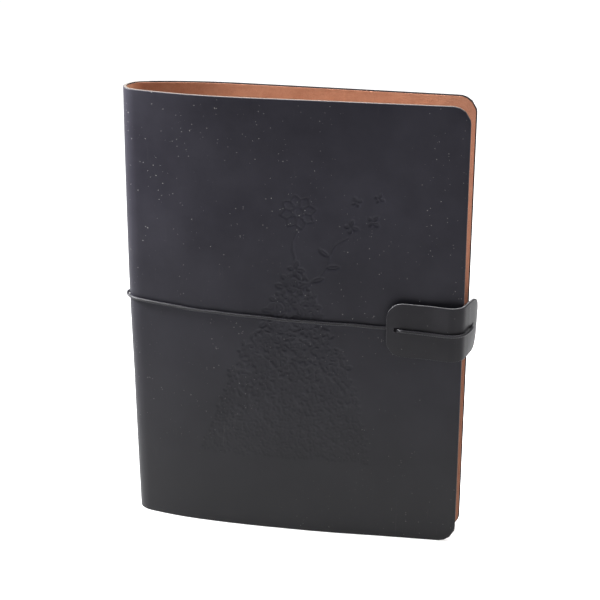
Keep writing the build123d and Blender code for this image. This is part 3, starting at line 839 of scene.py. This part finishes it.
def build_cord():
    """The elastic, run by run, from the knot inside the back cover round to the knot again."""
    (near, near_z, _), (far, far_z, _) = TAB_SLOTS
    inside, outside = -TAB_THICKNESS - CORD_LIE, CORD_LIE
    stop = Section.along_at(NEAR_HOLE - 5.0)
    front = [on_leather(along, cord_height(max(Section.at(along)[0] - NOSE_X, 0)))
             for along in np.linspace(0, stop, 60)]
    through_near = (*on_tab(near, -TAB_THICKNESS / 2), near_z)
    front += [(*off_front(NEAR_HOLE - 2.4, CORD_LIE + 0.1), near_z - 0.05), through_near]
    front_run = braid("elastic_front_run", curve_through(front, 12), None, ("closure_cord_front",))
    fold_x(SHOULDER_AT)
    fold_x(NEAR_HOLE)
    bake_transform(front_run)
    over = [through_near, (*on_tab(near + 1.7, outside), near_z - 0.05)]
    over += [(*on_tab(run, outside), z) for run, z in CROSSING]
    over += [(*on_tab(far - 2.1, outside), far_z - 0.5), (*on_tab(far, -TAB_THICKNESS / 2), far_z)]
    braid("elastic_over_tab", curve_through(over, 12), "closure", ("closure_cord_over_tab",))
    rim_x, rim_y, _ = on_leather(-BACK_LENGTH, far_z, 0)
    split = (rim_x + 1.5, rim_y - 5.5, far_z)
    turn = [over[-1], (*on_tab(far + 1.9, inside), far_z), split]
    edge_run = braid("elastic_edge_run", curve_through(turn, 12), None, ("closure_cord_edge",))
    into = [split, (rim_x + 1.0, rim_y - 0.6, far_z), (rim_x + 0.1, rim_y + 0.85, far_z)]
    into += [on_leather(-BACK_LENGTH + run, far_z) for run in (3, 6, 9)]
    into += [on_leather(-ANCHOR_AT - HOLE_HALF, far_z, out) for out in (CORD_LIE - 0.5, -1.0, -2.6)]
    anchor_run = braid("elastic_anchor_run", curve_through(into, 10), None, ("closure_cord_anchor",))
    for run in (edge_run, anchor_run):
        fold_x(PULL_FROM)
        turn[0][0] * MM
        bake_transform(run)
    back = [on_leather(-ANCHOR_AT + HOLE_HALF, far_z, out) for out in (-2.6, -1.0, CORD_LIE - 0.5)]
    for along in np.linspace(ANCHOR_AT - 3.2, 0, 20):
        share = 1 - along / ANCHOR_AT
        back.append(on_leather(-along, far_z + (cord_height(0) - far_z) * share ** 1.2))
    braid("elastic_back_run", curve_through(back, 30), "back_cover", ("closure_cord_back",))


def build_knot():
    """The stopper knot inside the back cover, drawn down tight: a closed trefoil that fills its box."""
    low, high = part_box("closure_cord_knot")
    middle = (np.array(low) + np.array(high)) / 2 / MM
    size = (np.array(high) - np.array(low)) / MM
    turns = np.linspace(0, 2 * np.pi, 90)
    ring = 2 + np.cos(3 * turns)
    knot = np.stack([ring * np.cos(2 * turns), 0.9 * np.sin(3 * turns), ring * np.sin(2 * turns)], -1)
    reach = (size / 2 - CORD_RADIUS) / np.array([3.0, 0.9, 3.0])
    braid("elastic_knot", middle + knot * reach, "back_cover", ("closure_cord_knot",), False)


# ---- metalwork -----------------------------------------------------------------------------------


def finish_metal():
    """Plated and bare steel on the six-ring mechanism's own pieces."""
    finishes = {"ring_rail": nickel, "rail_rivets": nickel, "rivet_caps": nickel,
                "left_hinge_blade": spring_steel, "right_hinge_blade": spring_steel}
    for name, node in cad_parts.items():
        metal = finishes.get(name) or (nickel if "half_ring" in name else None)
        if metal is None:
            continue
        if not node.material_slots:
            node.data.materials.append(metal)
        for place in node.material_slots:
            place.material = metal


# ---- stage, light and camera ---------------------------------------------------------------------


def area_light(name, place, target, size, power, tint=(1, 1, 1), spread=180):
    """A rectangular lamp aimed at a target; spread is the angle of its beam in degrees."""
    lamp = bpy.data.lights.new(name, "AREA")
    lamp.shape, lamp.size, lamp.size_y = "RECTANGLE", size[0], size[1]
    lamp.energy, lamp.color, lamp.spread = power, tint, math.radians(spread)
    made = bpy.data.objects.new(name, lamp)
    made.location = place
    made.rotation_euler = (Vector(target) - Vector(place)).to_track_quat("-Z", "Y").to_euler()
    bpy.context.scene.collection.objects.link(made)


FLOOR_GAP = 0.0002             # in metres, so that the standing edge and the floor share no plane
FLOOR_REACH = 6.0


def build_stage():
    """The paper that the cover stands on, a white sky and the lamps."""
    mesh = bpy.data.meshes.new("studio_floor")
    corners = ((-1, -1), (1, -1), (1, 1), (-1, 1))
    mesh.from_pydata([(FLOOR_REACH * x, FLOOR_REACH * y, 0) for x, y in corners], [], [(0, 1, 2, 3)])
    mesh.materials.append(matt_floor("studio_paper"))
    floor = bpy.data.objects.new("studio_floor", mesh)
    floor.location = (0, 0, -FLOOR_GAP)
    bpy.context.scene.collection.objects.link(floor)
    world = bpy.data.worlds.new("studio")
    world.use_nodes = True
    sky = world.node_tree.nodes["Background"]
    sky.inputs[0].default_value = (1.0, 1.0, 1.0, 1.0)
    sky.inputs[1].default_value = 0.3
    bpy.context.scene.world = world
    area_light("left_panel", (-0.62, 0.04, 0.55), (-0.07, 0.0, 0.16), (0.35, 0.35), 5.0,
               (0.97, 0.98, 1.0), 70)
    area_light("corner_spot", (-0.55, -0.02, 0.5), (-0.08, 0.0, 0.2), (0.15, 0.15), 0.35,
               (1.0, 1.0, 0.98), 25)
    area_light("right_panel", (0.85, -0.12, 0.3), (0.06, 0.0, 0.09), (0.55, 0.6), 1.7,
               (1.0, 0.985, 0.96))
    area_light("top_panel", (0.1, 0.19, 1.1), (0.0, 0.0, 0.1), (0.9, 0.7), 24.0)


CAMERA_PLACE = ((NOSE_X + 180.85) * MM, (FRONT_Y - 587.1) * MM, 0.3444)
CAMERA_HEADING = math.radians(10.56)
CAMERA_PITCH = math.radians(22.0)
CAMERA_LENS = 97.3


def build_camera():
    data = bpy.data.cameras.new("camera")
    data.lens, data.sensor_width = CAMERA_LENS, 36.0
    data.clip_start, data.clip_end = 0.01, 50.0
    camera = bpy.data.objects.new("camera", data)
    camera.location = CAMERA_PLACE
    camera.rotation_euler = (math.pi / 2 - CAMERA_PITCH, 0, CAMERA_HEADING)
    bpy.context.scene.collection.objects.link(camera)
    bpy.context.scene.camera = camera


build_camera()
build_stage()
build_cover()
build_tab()
build_cord()
build_knot()
finish_metal()
bpy.context.scene.view_settings.view_transform = "Standard"
